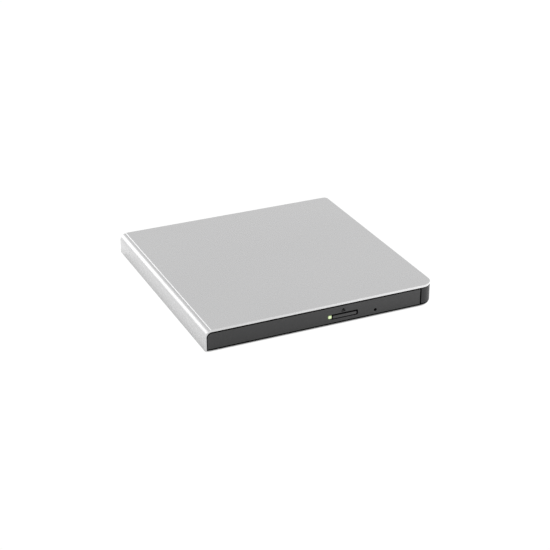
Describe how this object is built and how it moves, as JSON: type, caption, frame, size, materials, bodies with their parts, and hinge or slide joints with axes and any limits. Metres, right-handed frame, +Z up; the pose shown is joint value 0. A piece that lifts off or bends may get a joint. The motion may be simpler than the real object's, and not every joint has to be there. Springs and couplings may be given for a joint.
{
  "type": "external optical disc drive",
  "caption": "Slim portable disc drive: silver wrap-over cover on a black case, with a front tray that pulls out on telescoping rails and holds a 120 mm disc.",
  "frame": {"origin": "on the table under the centre of the case, at the bottom of the rubber feet", "axes": "+Z up; the tray opens towards -Y; +X is to the right seen from the front"},
  "size_m": [0.144, 0.142, 0.014],
  "materials": {
    "silver_cover": "satin silver paint",
    "black_shell": "fine-grained satin",
    "black_bezel": "satin",
    "light_window": "clear, tinted",
    "rubber": "matt",
    "zinc_steel": "plated",
    "circuit_board": "solder mask",
    "chip_black": "moulded",
    "connector_black": "moulded",
    "copper_windings": "enamelled wire",
    "polyimide": "translucent film",
    "label_white": "blank paper label",
    "white_acetal": "smooth",
    "die_cast": "dark die casting",
    "lens_glass": "coated"
  },
  "bodies": {
    "case": {"top_cover": "silver_cover", "bottom_case": "black_shell", "foot_front_left": "rubber", "foot_front_right": "rubber", "foot_rear_left": "rubber", "foot_rear_right": "rubber", "case_screw_left": "zinc_steel", "case_screw_right": "zinc_steel", "rating_label": "label_white", "bridge_board": "circuit_board", "bridge_chip": "chip_black", "usb_shell": "zinc_steel", "usb_insert": "connector_black", "board_connector": "connector_black", "chassis_base": "zinc_steel", "chassis_lid": "zinc_steel", "lid_screw_front": "zinc_steel", "lid_screw_rear": "zinc_steel", "rail_guide_left": "zinc_steel", "rail_guide_right": "zinc_steel", "connector_board": "circuit_board", "drive_connector": "connector_black", "flex_cable": "polyimide"},
    "rail_left": {"slide_rail_left": "zinc_steel"},
    "rail_right": {"slide_rail_right": "zinc_steel"},
    "tray": {"tray": "black_shell", "tray_bezel": "black_bezel", "led_lens": "light_window", "main_board": "circuit_board", "main_chip": "chip_black", "driver_chip": "chip_black", "tact_switch": "zinc_steel", "ribbon_socket": "white_acetal", "tray_bottom_plate": "zinc_steel", "traverse_base": "zinc_steel", "damper_1": "rubber", "damper_2": "rubber", "damper_3": "rubber", "guide_shaft_main": "zinc_steel", "guide_shaft_sub": "zinc_steel", "feed_motor": "zinc_steel", "motor_base": "zinc_steel", "motor_stator": "copper_windings", "traverse_cover": "black_shell", "solenoid": "copper_windings", "eject_spring": "zinc_steel"},
    "button": {"eject_button": "black_bezel"},
    "spindle": {"spindle_rotor": "zinc_steel", "turntable_ring": "rubber"},
    "claw_1": {"hub_claw_1": "zinc_steel"},
    "claw_2": {"hub_claw_2": "zinc_steel"},
    "claw_3": {"hub_claw_3": "zinc_steel"},
    "pickup": {"optical_pickup": "die_cast", "pickup_shield": "black_shell"},
    "lens": {"lens_holder": "connector_black", "objective_lens": "lens_glass"},
    "feed_screw": {"lead_screw": "zinc_steel"},
    "latch": {"latch_lever": "white_acetal"},
    "plunger": {"solenoid_plunger": "zinc_steel"},
    "pusher": {"eject_pusher": "white_acetal"}
  },
  "joints": [
    {"name": "tray_slide", "type": "slide", "parent": "case", "child": "tray", "axis": [0, -1, 0], "range_m": [0, 0.125], "deforming": ["flex_cable"]},
    {"name": "rail_left_slide", "type": "slide", "parent": "case", "child": "rail_left", "axis": [0, -1, 0], "range_m": [0, 0.0626]},
    {"name": "rail_right_slide", "type": "slide", "parent": "case", "child": "rail_right", "axis": [0, -1, 0], "range_m": [0, 0.0626]},
    {"name": "eject_button_press", "type": "slide", "parent": "tray", "child": "button", "axis": [0, 1, 0], "range_m": [0, 0.0006]},
    {"name": "spindle_spin", "type": "hinge", "parent": "tray", "child": "spindle", "pos_m": [-0.0025, -0.0065, 0.0085], "axis": [0, 0, 1], "continuous": true},
    {"name": "claw_1_slide", "type": "slide", "parent": "spindle", "child": "claw_1", "axis": [0.1736, 0.9848, 0], "range_m": [0, 0.0006]},
    {"name": "claw_2_slide", "type": "slide", "parent": "spindle", "child": "claw_2", "axis": [-0.9397, -0.342, 0], "range_m": [0, 0.00061]},
    {"name": "claw_3_slide", "type": "slide", "parent": "spindle", "child": "claw_3", "axis": [0.766, -0.6428, 0], "range_m": [0, 0.00061]},
    {"name": "pickup_feed", "type": "slide", "parent": "tray", "child": "pickup", "axis": [-0.6428, -0.766, 0], "range_m": [0, 0.032]},
    {"name": "lens_focus", "type": "slide", "parent": "pickup", "child": "lens", "axis": [0, 0, 1], "range_m": [-0.0004, 0.0004]},
    {"name": "lead_screw_spin", "type": "hinge", "parent": "tray", "child": "feed_screw", "pos_m": [-0.03496, -0.01843, 0.006], "axis": [-0.6428, -0.766, 0], "range_deg": [-3845, 1]},
    {"name": "plunger_pull", "type": "slide", "parent": "tray", "child": "plunger", "axis": [0, 1, 0], "range_m": [0, 0.0009]},
    {"name": "latch_turn", "type": "hinge", "parent": "tray", "child": "latch", "pos_m": [0.051, -0.062, 0.0042], "axis": [0, 0, 1], "range_deg": [-9, 0.1]},
    {"name": "pusher_slide", "type": "slide", "parent": "tray", "child": "pusher", "axis": [0, 1, 0], "range_m": [0, 0.00801], "deforming": ["eject_spring"]}
  ],
  "couplings": [
    {"joint": "rail_left_slide", "follows": "tray_slide", "ratio": 0.5},
    {"joint": "rail_right_slide", "follows": "tray_slide", "ratio": 0.5},
    {"joint": "pusher_slide", "follows": "tray_slide", "ratio": 0.064},
    {"joint": "claw_2_slide", "follows": "claw_1_slide", "ratio": 1},
    {"joint": "claw_3_slide", "follows": "claw_1_slide", "ratio": 1},
    {"joint": "lead_screw_spin", "follows": "pickup_feed", "rad_per_m": -2094.4},
    {"joint": "latch_turn", "follows": "plunger_pull", "rad_per_m": -166.67}
  ]
}
